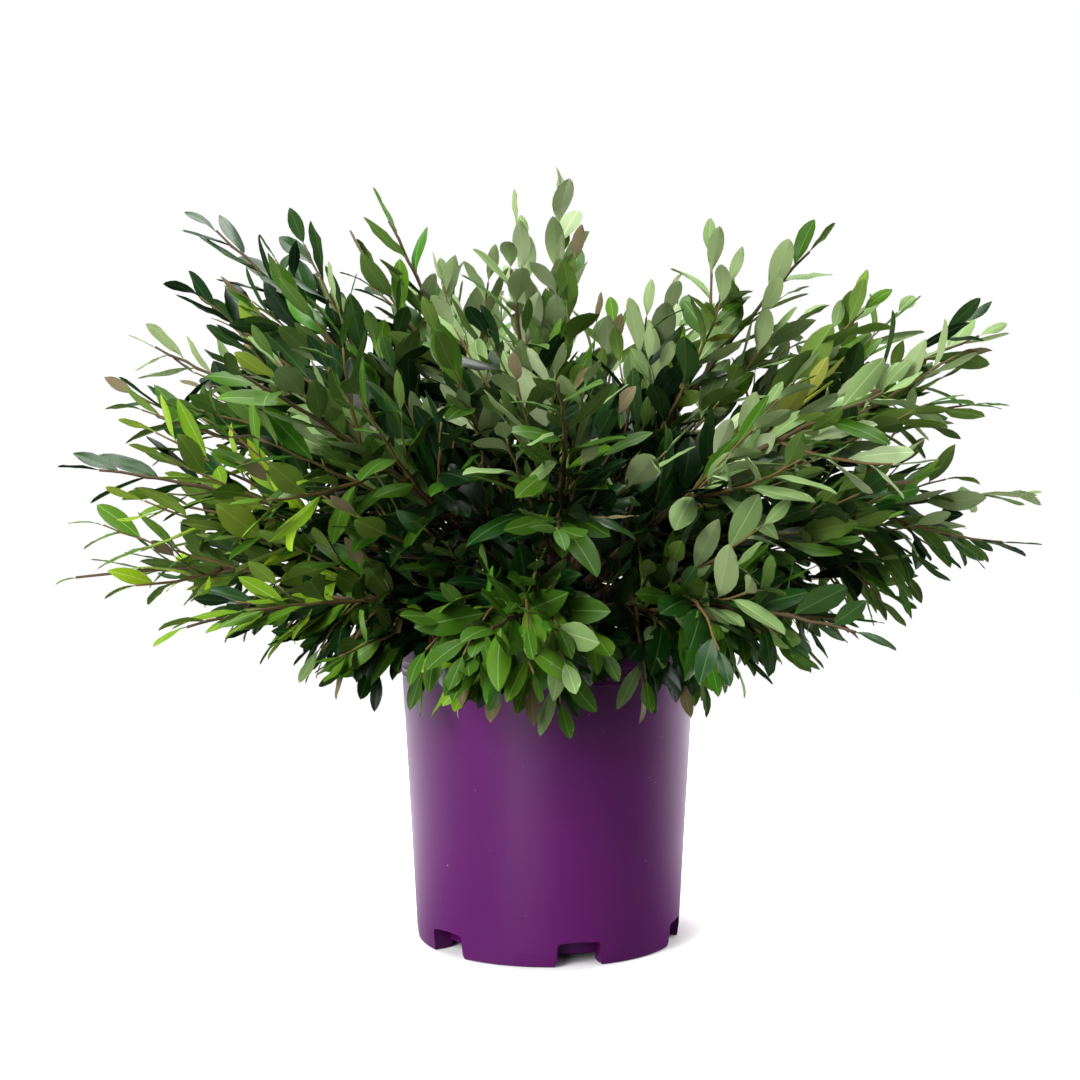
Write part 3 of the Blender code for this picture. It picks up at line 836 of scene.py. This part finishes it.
def in_space(point, mass, merge):
    """Whether the point is clear of the pot and the ground, and no deeper than merge in the next mass."""
    radius = math.hypot(point.x, point.y)
    if radius < LIP_RADIUS + POT_MARGIN and point.z < POT_HEIGHT + POT_MARGIN:
        return False
    skirt_radius, skirt_height, skirt_slope = SKIRT
    sideways = abs(point.x) / max(radius, POT_MARGIN)
    if point.z < skirt_height + SKIRT_SIDES * sideways + skirt_slope * (radius - skirt_radius):
        return False
    out = point - FORK
    return all(out.dot(side) > -merge for side in mass.borders)


def make_limbs(masses):
    """Trunk and boughs in one skin, with collars where they fork and the bark's relief."""
    bm = bmesh.new()
    foot = Vector((0, 0, MIX_TOP + TRUNK_FOOT)) + TRUNK_LEAN
    top = TRUNK_PROFILE[-1][1]
    path = [foot + UP * height - TRUNK_LEAN * (height / top) for _, height in TRUNK_PROFILE] + [FORK]
    radii = [radius for radius, _ in TRUNK_PROFILE] + [TRUNK_TOP_RADIUS]
    tube_into(bm, path, radii, 2 * LIMB_SIDES, first=UP)
    bmesh.ops.create_icosphere(bm, subdivisions=3, radius=FORK_RADIUS, matrix=Matrix.Translation(FORK))
    thick, thin = BOUGH_RADII
    radii = [thick + (thin - thick) * k / BOUGH_STEPS for k in range(BOUGH_STEPS + 1)]
    for mass in masses:
        path = mass.path(FORK_RADIUS / 2 / mass.reach, BOUGH_SHARE + BOUGH_OVERLAP)
        tube_into(bm, path, radii, LIMB_SIDES)
    limbs = add_object("limbs", mesh_of("limbs", bm))
    skin = limbs.modifiers.new("skin", "REMESH")
    skin.mode = "VOXEL"
    skin.voxel_size = LIMB_VOXEL
    relax = limbs.modifiers.new("relax", "SMOOTH")
    relax.factor, relax.iterations = LIMB_RELAX
    apply_modifiers(limbs)
    normals = [vert.normal.copy() for vert in limbs.data.vertices]
    for vert, normal in zip(limbs.data.vertices, normals):
        lumps = [high * noise.noise(vert.co * dense) for dense, high in BARK_LUMPS]
        moved = vert.co + normal * (BARK_RELIEF * sum(lumps))
        moved.z = max(moved.z, foot.z)
        vert.co = moved
    limbs.data.materials.append(earthy("bark"))
    limbs.data.shade_smooth()
    nodes = ["trunk"] + [f"bough_{mass.name}" for mass in masses]
    piece(limbs, "bark", *nodes)


# Twigs


def strayed(vector, axis, degrees, rng):
    """The vector turned about the axis by a random angle of about that many degrees."""
    return Matrix.Rotation(math.radians(rng.gauss(0, degrees)), 3, axis) @ vector


class Shoot:
    """A leafy shoot: its path, its order from the stem outward, and the plane of its leaves."""

    def __init__(self, path, order, rng, merge=MERGE):
        self.path = path
        self.merge = merge + LEAF_OVER
        self.order = order
        self.lengths = [(b - a).length for a, b in zip(path, path[1:])]
        self.length = sum(self.lengths)
        ahead = (path[-1] - path[0]).normalized()
        level = ahead.cross(UP)
        if level.length < STEEP:
            level = ahead.orthogonal()
        self.rank = strayed(level.normalized(), ahead, RANK_STRAY, rng)
        self.stations = []
        self.places = 0

    def at(self, reach):
        """The point at that distance along the path, and the way it runs there."""
        for k, step in enumerate(self.lengths):
            if reach <= step or k == len(self.lengths) - 1:
                a, b = self.path[k], self.path[k + 1]
                return a.lerp(b, min(reach / step, 1)), (b - a).normalized()
            reach -= step


def twig_way(ahead, turn, lean):
    side = Matrix.Rotation(turn, 3, ahead) @ ahead.orthogonal().normalized()
    return ahead * math.cos(lean) + side * math.sin(lean)


def keeps_source(root, tip, mass):
    """Whether a twig of the solid keeps to the mass's space."""
    for n in range(TWIG_CHECKS):
        point = root.lerp(tip, (n + 1) / TWIG_CHECKS)
        out = point - FORK
        beside = 1 - out.normalized().dot(mass.way)
        if not in_space(point, mass, -SOURCE_GAP) or out.length > mass.reach * (1 - LOBE * beside):
            return False
    return True


def keeps_fine(path, mass, inset, merge):
    """Whether a shoot and the room for its last leaf keep to the mass's space."""
    ahead = (path[-1] - path[-2]).normalized()
    points = [*path[1:], path[-1] + ahead * TIP_ROOM]
    return all(in_space(point, mass, merge) and in_fine_lobe(point - FORK, mass, -inset) for point in points)


def source_twigs(mass):
    """The twigs of the solid: root, way and length of each."""
    stem_end = 1 - STEM_STOP / mass.reach
    for k in range(SIDE_TWIGS):
        share = BOUGH_SHARE + (stem_end - BOUGH_SHARE) * (k + FIRST_TWIG) / SIDE_TWIGS
        root = mass.point(share)
        ahead = (mass.point(stem_end) - root).normalized()
        lean = math.radians(mass.rng.uniform(*TWIG_ANGLE))
        way = twig_way(ahead, GOLDEN_ANGLE * k + mass.phase, lean)
        for length in TWIG_LENGTHS:
            if keeps_source(root, root + (way + UP * TWIG_RISE) * length, mass):
                yield root, way, length
                break


def longest(root, way, rise, lengths, order, mass, tips, merge=MERGE):
    """The longest of the shoots that keeps to the mass's space and clear of other tips, or None."""
    inset = 0 if order == 1 else FINE_INSET
    for length in lengths:
        tip = root + (way + UP * rise) * length
        path = curve(root, root + way * ((tip - root).length / 2), tip)
        if keeps_fine(path, mass, inset, merge) and tips.free([path[-1]]):
            tips.add([path[-1]])
            return Shoot(path, order, mass.fine_rng, merge)
    return None


def droopers(mass, tips):
    """Shoots that fan out over the pot's rim and hang."""
    rng = mass.fine_rng
    first, last = DROOP_SHARES
    for k in range(DROOPERS):
        root = mass.point(rng.uniform(first, last))
        fan = DROOP_FAN * (2 * (k + rng.uniform(0, 1)) / DROOPERS - 1)
        way = polar(mass.azimuth + fan, rng.uniform(*DROOP_SLOPES))
        yield longest(root, way, rng.uniform(*DROOP_RISE), DROOP_LENGTHS, 1, mass, tips, DROOP_MERGE)


def limb_shoots(mass, tips, count, shares, angles, lengths):
    """Shoots that leave the limb in a spiral, between the two shares of its reach."""
    rng = mass.fine_rng
    first, last = shares
    for k in range(count):
        share = first + (last - first) * (k + rng.uniform(*SPIRAL_STRAY)) / count
        root = mass.point(share)
        ahead = (mass.point(1) - root).normalized()
        lean = math.radians(rng.uniform(*angles))
        way = twig_way(ahead, GOLDEN_ANGLE * (k + 0.5) + mass.phase, lean)
        yield longest(root, way, rng.uniform(*LEADER_RISE[mass.ring]), lengths, 1, mass, tips)


def side_shoots(mass, tips):
    """The source's twigs grown on, then the shoots that leave the limb beside its stem."""
    for root, way, length in source_twigs(mass):
        lengths = [length * growth for growth in TWIG_GROWTH]
        yield longest(root, way, TWIG_RISE, lengths, 1, mass, tips["long"])
    yield from limb_shoots(mass, tips["long"], *LEADERS)
    if mass.ring == "low":
        yield from droopers(mass, tips["hanging"])
    yield from limb_shoots(mass, tips["long"], *FILLERS)


def fine_shoots(bearer, mass, tips):
    """The finer twigs of a shoot, by turns to its left and right."""
    rng = mass.fine_rng
    shortest, most = FINE_LENGTHS
    reach = bearer.length * FINE_START
    side = rng.choice((-1, 1))
    while reach < bearer.length - shortest:
        root, ahead = bearer.at(reach)
        length = min(max((bearer.length - reach) * FINE_SHARE, shortest), most)
        length *= rng.uniform(*LENGTH_STRAY)
        out = strayed(bearer.rank, ahead, RANK_STRAY, rng)
        lean = math.radians(rng.uniform(*FINE_ANGLE))
        way = (ahead * math.cos(lean) + out * (side * math.sin(lean))).normalized()
        lengths = [length * share for share in FINE_TRIES]
        yield longest(root, way, TWIG_RISE, lengths, 2, mass, tips["fine"])
        side = -side
        reach += FINE_SPACING * rng.uniform(*FINE_STRAY)


def shoots_of(mass, stem, tips):
    """Every leafy shoot of a mass, its stem first."""
    shoots = [stem, *filter(None, side_shoots(mass, tips))]
    fine = []
    for bearer in shoots:
        fine += filter(None, fine_shoots(bearer, mass, tips))
    return shoots + fine


# Leaves


class Crowd:
    """Points placed so far, to keep the next ones clear of them."""

    def __init__(self, clear):
        self.clear = clear
        self.cells = {}

    def cell(self, point):
        return tuple(math.floor(value / self.clear) for value in point)

    def free(self, points):
        for point in points:
            x, y, z = self.cell(point)
            for dx, dy, dz in itertools.product((-1, 0, 1), repeat=3):
                for other in self.cells.get((x + dx, y + dy, z + dz), ()):
                    if (other - point).length < self.clear:
                        return False
        return True

    def add(self, points):
        for point in points:
            self.cells.setdefault(self.cell(point), []).append(point)


class Leaf(NamedTuple):
    """Where one leaf stands, and whether it is the last of its shoot."""

    root: Vector
    way: Vector
    face: Vector
    length: float
    last: bool

    def point(self, share):
        return self.root + self.way * (self.length * share)

    def midline(self):
        return [self.point(share) for share in MIDLINE]

    def corners(self):
        along, aside = WIDEST
        half = self.way.cross(self.face) * (self.length * aside)
        middle = self.point(along)
        return [self.point(1), middle + half, middle - half]


def new_leaf(shoot, reach, side, length, last, rng):
    """A leaf on that side of the shoot, with its own stray."""
    place, ahead = shoot.at(reach)
    out = strayed(shoot.rank * side, ahead, ROLL_STRAY, rng)
    first, final = LEAF_LEAN
    lean = first + (final - first) * (reach / shoot.length) + rng.gauss(0, LEAN_STRAY)
    if last:
        lean = rng.uniform(*TIP_LEAN)
    lean = math.radians(lean)
    way = (ahead * math.cos(lean) + out * math.sin(lean)).normalized()
    stray = Vector([rng.gauss(0, LIGHT_STRAY) for _ in range(3)])
    up, along, outward = LEAF_LIGHT
    light = UP * up + ahead * along + (place - FORK).normalized() * outward + stray
    face = (light - way * light.dot(way)).normalized()
    return Leaf(place, way, face, length, last)


def place_leaves(shoot, mass, crowd):
    """The leaves of a shoot, in two ranks, smaller and closer to it near its tip."""
    rng = mass.fine_rng
    shoot.places = max(3, int((shoot.length - LEAF_START) / LEAF_SPACING) + 1)
    leaves = []
    for from_tip in range(shoot.places):
        last = from_tip == 0
        reach = shoot.length - from_tip * LEAF_SPACING * rng.uniform(*SPACING_STRAY)
        if reach < LEAF_START / 2:
            break
        side = 1 if from_tip % 2 else -1
        size = TIP_SIZES[from_tip] if from_tip < len(TIP_SIZES) else rng.uniform(*LEAF_SIZES)
        for n in range(LEAF_TRIES):
            leaf = new_leaf(shoot, reach, side, LEAF_LENGTH * size * (1 - TRY_SHRINK * n), last, rng)
            if last:
                fits = in_box(leaf.point(1)) or n == LEAF_TRIES - 1
            else:
                fits = leaf_keeps(leaf, mass, shoot.merge) and crowd.free(leaf.midline())
            if fits:
                crowd.add(leaf.midline())
                leaves.append(leaf)
                shoot.stations.append((reach, side))
                break
    return leaves


def leaf_keeps(leaf, mass, merge):
    for point in leaf.corners():
        out = point - FORK
        if not in_space(point, mass, merge) or not in_box(point):
            return False
        if out.length > mass.reach + REACH_SLACK or not in_fine_lobe(out, mass, LEAF_SLACK):
            return False
    return True


def blades(leaves, rng):
    """The vertices of many leaves at once: a petiole ring, rings along the blade and a tip for each."""
    count = len(leaves)

    def spread(bounds):
        low, high = bounds
        return np.array([rng.uniform(low, high) for _ in range(count)])[:, None, None]

    def gathered(values):
        return np.array([tuple(value) for value in values])[:, None, None, :]

    root = gathered(leaf.root for leaf in leaves)
    way = gathered(leaf.way for leaf in leaves)
    face = gathered(leaf.face for leaf in leaves)
    side = np.cross(way, face)
    total = np.array([leaf.length for leaf in leaves])[:, None, None]
    petiole = PETIOLE * total / LEAF_LENGTH
    length = total - petiole
    half = length * spread(LEAF_ASPECT) / 2
    bend, fold = spread(BEND), spread(FOLD)
    bend = np.where(np.abs(bend) < LEAST_BEND, LEAST_BEND, bend)
    twist, sickle = spread((-TWIST, TWIST)), spread((-SICKLE, SICKLE))
    wave, beat, start = spread((0, WAVE)), spread(WAVE_BEATS), spread((0, math.tau))
    tip_shape, base_shape = spread(TIP_SHAPE), spread(BASE_SHAPE)

    def midrib(t):
        """How far aside, along and up the midrib is at that share of the blade."""
        along = petiole + length * np.sin(bend * t) / bend
        return sickle * length * t ** 2, along, length * (np.cos(bend * t) - 1) / bend

    t = ALONG[None, :, None]
    peak = base_shape / (base_shape + tip_shape)
    most = peak ** base_shape * (1 - peak) ** tip_shape
    width = half * (t ** base_shape) * ((1 - t) ** tip_shape) / most
    least, ribs = BLADE_LEAST
    rib = np.minimum(RIB_HALF * total / LEAF_LENGTH, RIB_SHARE * np.maximum(width, least))
    width = np.maximum(width, ribs * rib)
    columns = ACROSS[None, None, :]
    x_up = columns * width
    x_up[:, :, 2:3] = -rib
    x_up[:, :, 3:4] = rib
    lift = np.abs(x_up)
    rows = np.arange(len(ALONG))[None, :, None]
    quilt = QUILT * np.where(rows % 2, 1, -1) * (np.abs(columns) == QUILTED)
    ripple = wave * lift * np.sin(beat * math.tau * t + start + np.sign(columns) * WAVE_LAG)
    z_up = lift * np.tan(fold) - lift ** 2 / half * CUPPING + quilt + ripple
    x_low = np.concatenate((KEEL * rib, -KEEL * rib), axis=2)
    low = -(BLADE_DEPTH + RIB_DEPTH * (1 - RIB_FADE * t)) * total / LEAF_LENGTH
    z_low = low * np.ones_like(x_low)
    x = np.concatenate((x_up, x_low), axis=2)
    z = np.concatenate((z_up, z_low), axis=2)

    turn = twist * t
    x, z = x * np.cos(turn) - z * np.sin(turn), x * np.sin(turn) + z * np.cos(turn)
    aside, along, up = midrib(t)
    y, z = along + z * np.sin(bend * t), up + z * np.cos(bend * t)
    local = np.stack((aside + x, y, z), axis=3)
    ring = local[:, :1].copy()
    ring[..., 1] = 0
    local = np.concatenate((ring, local), axis=1).reshape(count, -1, 3)
    tip = np.stack(midrib(1), axis=3)[:, 0]
    local = np.concatenate((local, tip), axis=1)
    axes = np.stack((side, way, face), axis=3)[:, 0, 0]
    return root[:, 0] + np.einsum("nvk,nkc->nvc", local, axes)


def blade_faces():
    """The faces of one leaf and their slots: 0 upper side, 1 underside, 2 midrib and petiole."""
    around = len(ACROSS) + 2
    sides = [0, 0, 2, 0, 0, 1, 2, 1]
    faces, slots = [], []
    for ring in range(len(ALONG)):
        low, high = ring * around, (ring + 1) * around
        for k in range(around):
            n = (k + 1) % around
            faces.append((low + k, low + n, high + n, high + k))
        slots += sides if ring else [2] * around
    tip = high + around
    faces += [(high + k, high + (k + 1) % around, tip) for k in range(around)]
    faces.append(tuple(reversed(range(around))))
    return faces, [*slots, *sides, 2]


def leaf_mesh(name, leaves, rng):
    """All the leaves of one tone as one mesh."""
    vertices = blades(leaves, rng)
    one, slots = blade_faces()
    starts = [n * vertices.shape[1] for n in range(len(leaves))]
    faces = [tuple(start + k for k in face) for start in starts for face in one]
    mesh = bpy.data.meshes.new(name)
    mesh.from_pydata(vertices.reshape(-1, 3).tolist(), [], faces)
    mesh.polygons.foreach_set("material_index", slots * len(leaves))
    mesh.update()
    smooth(mesh, LEAF_SHARP)
    return mesh


def picked(weights, rng):
    return rng.choices(list(weights), list(weights.values()))[0]


def tone_at(point, rng):
    """A tone for the spray there, by how near it is to each zone."""
    weights = {}
    for (x, z), radius, tones in ZONES:
        near = math.exp(-((point.x - x) ** 2 + (point.z - z) ** 2) / (2 * (radius / ZONE_FALL) ** 2))
        total = sum(tones.values())
        for tone, share in tones.items():
            weights[tone] = weights.get(tone, 0) + near * share / total
    return picked(weights, rng)


def make_leaves(grown):
    """Deals the tones out by spray, with painted shade in dark tones deep inside the crown, and makes one
    piece of each tone.
    """
    rng = random.Random(SEED)
    dealt = {tone: [] for tone in TONES}
    for shoot, mass, leaves in grown:
        outer = tone_at(shoot.path[-1], rng)
        # Painted shade: leaves nearer the fork than this depth take a dark tone instead of the zone's
        inner = picked(PAINTED_SHADE_TONES, rng)
        shade = rng.uniform(*PAINTED_SHADE_DEPTH) * mass.reach
        for leaf in leaves:
            tone = inner if (leaf.root - FORK).length < shade else outer
            if leaf.last and rng.random() < COPPER_TIPS:
                tone = "copper"
            elif rng.random() < ODD_LEAVES:
                tone = BESIDE[tone]
            dealt[tone].append(leaf)
    for tone, leaves in dealt.items():
        upper, under, rib, roughness = TONES[tone]
        glossy, dull = LEAF_SPECULAR
        obj = add_object(
            f"leaves_{tone}",
            leaf_mesh(f"leaves_{tone}", leaves, rng),
            plain_material(f"{tone}_upper", upper, roughness, glossy if roughness < GLOSSY else dull),
            plain_material(f"{tone}_under", under, *UNDER_FINISH),
            plain_material(f"{tone}_rib", rib, *RIB_FINISH),
        )
        piece(obj, "leaf")


def make_twigs(grown, masses):
    """One piece for each age of twig, thicker at its leaves and zigzag between them."""
    meshes = {tone: bmesh.new() for tone in TWIG_TONES}
    for shoot, _, _ in grown:
        thick, thin = RADII[shoot.order]
        stops = [(0, 0)] + sorted(shoot.stations)
        path, radii = [], []
        for (reach, side), (following, _) in zip(stops, stops[1:] + [(0, 0)]):
            radius = thick + (thin - thick) * min(reach / shoot.length, 1)
            zigzag = ZIGZAG * side * min(1, radius / ZIGZAG_RADIUS)
            path.append(shoot.at(reach)[0] + shoot.rank * zigzag)
            radii.append(radius * (NODE_SWELL if side else 1))
            if following - reach > TWIG_STEP:
                path.append(shoot.at((reach + following) / 2)[0])
                radii.append(radius)
        tube_into(meshes[tuple(TWIG_TONES)[shoot.order]], path, radii, TWIG_SIDES)
    for tone, bm in meshes.items():
        mesh = mesh_of(f"twigs_{tone}", bm)
        mesh.shade_smooth()
        obj = add_object(mesh.name, mesh, plain_material(f"twig_{tone}", TWIG_TONES[tone], *TWIG_FINISH))
        nodes = [f"foliage_{mass.name}" for mass in masses] if tone == "stem" else []
        piece(obj, "leaf", *nodes)


def make_crown(masses):
    crowd = Crowd(LEAF_CLEAR)
    tips = {kind: Crowd(clear) for kind, clear in TIP_CLEAR.items()}
    paths = [mass.path(BOUGH_SHARE, 1 - STEM_TIP / mass.reach) for mass in masses]
    stems = [Shoot(path, 0, mass.fine_rng) for path, mass in zip(paths, masses)]
    tips["long"].add([stem.path[-1] for stem in stems])
    grown = []
    for mass, stem in zip(masses, stems):
        for shoot in shoots_of(mass, stem, tips):
            leaves = place_leaves(shoot, mass, crowd)
            if shoot.order == 0 or len(leaves) >= LEAFY * shoot.places:
                grown.append((shoot, mass, leaves))
    make_leaves(grown)
    make_twigs(grown, masses)


# Studio


def make_floor():
    """A pale floor that glows for the camera and throws light back mostly behind the pot."""
    bm = bmesh.new()
    bmesh.ops.create_circle(bm, cap_ends=True, segments=FLOOR_SEGMENTS, radius=FLOOR_RADIUS)
    bmesh.ops.translate(bm, verts=bm.verts, vec=(0, 0, -FLOOR_DROP))
    made, shader = new_material("floor")
    graph = Graph(made.node_tree)
    inner, outer = GLOW_START
    graph.set(shader, {
        "Base Color": FLOOR_COLOUR,
        "Roughness": FLOOR_ROUGHNESS,
        "Emission Color": WHITE,
        "Emission Strength": graph.range(graph.gradient("SPHERICAL"), FLOOR_GLOW, 0, 1 - outer, 1 - inner),
    })
    parts = graph.add("ShaderNodeSeparateXYZ", {0: graph.place})
    bounce = graph.range(parts.outputs["Y"], *FLOOR_BOUNCE, *FLOOR_TURN)
    sheen = graph.ramp(graph.gradient("RADIAL"), [(turn, (level,) * 3) for turn, level in FLOOR_SHEEN])
    path = graph.add("ShaderNodeLightPath")
    dim = graph.mix(path.outputs["Is Glossy Ray"], bounce, sheen)
    graph.split(path, graph.add("ShaderNodeBsdfDiffuse", {"Color": dim}), shader, "Material Output")
    floor = add_object("floor", mesh_of("floor", bm), made)
    floor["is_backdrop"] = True


def make_world():
    """White surroundings that light the plant mostly from behind, and show less in gloss."""
    world = bpy.data.worlds.new("studio")
    bpy.context.scene.world = world
    world.use_nodes = True
    graph = Graph(world.node_tree)
    parts = graph.add("ShaderNodeSeparateXYZ", {0: graph.coordinates.outputs["Generated"]})
    level = graph.range(parts.outputs["Y"], *AMBIENT, *AMBIENT_TURN, interpolation_type="SMOOTHSTEP")
    path = graph.add("ShaderNodeLightPath")
    dimmed = graph.range(path.outputs["Is Glossy Ray"], 1, GLOSS_AMBIENT)
    strength = graph.add("ShaderNodeMath", {0: level, 1: dimmed}, operation="MULTIPLY").outputs[0]
    ambient = graph.set(graph.tree.nodes["Background"], {"Color": WHITE, "Strength": strength})
    seen = graph.add("ShaderNodeBackground", {"Color": WHITE, "Strength": 1})
    graph.split(path, ambient, seen, "World Output")


def softbox(name, place, target, size, power, gloss):
    light = bpy.data.lights.new(name, "AREA")
    light.shape = "RECTANGLE"
    light.size, light.size_y = size
    light.energy = power
    obj = add_object(name, light)
    obj.location = place
    obj.rotation_euler = (Vector(target) - Vector(place)).to_track_quat("-Z", "Y").to_euler()
    obj.visible_camera = False
    obj.visible_glossy = gloss


def make_camera():
    """A level camera that looks along +Y."""
    data = bpy.data.cameras.new("camera")
    data.lens = LENS
    data.sensor_width = SENSOR
    data.clip_start = CLIP_START
    camera = add_object("camera", data)
    camera.location = CAMERA_PLACE
    camera.rotation_euler = (math.radians(90), 0, 0)
    bpy.context.scene.camera = camera


def write_sizes():
    boxes = {"cad": CAD_BOX, "visual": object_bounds()}
    {name: [list(corner) for corner in box] for name, box in boxes.items()}


def main():
    masses = make_masses()
    make_pot()
    make_mix()
    make_chips()
    make_limbs(masses)
    make_crown(masses)
    make_floor()
    make_world()
    for name, settings in SOFTBOXES.items():
        softbox(name, *settings)
    make_camera()
    bpy.context.scene.view_settings.view_transform = "Standard"
    write_sizes()


main()
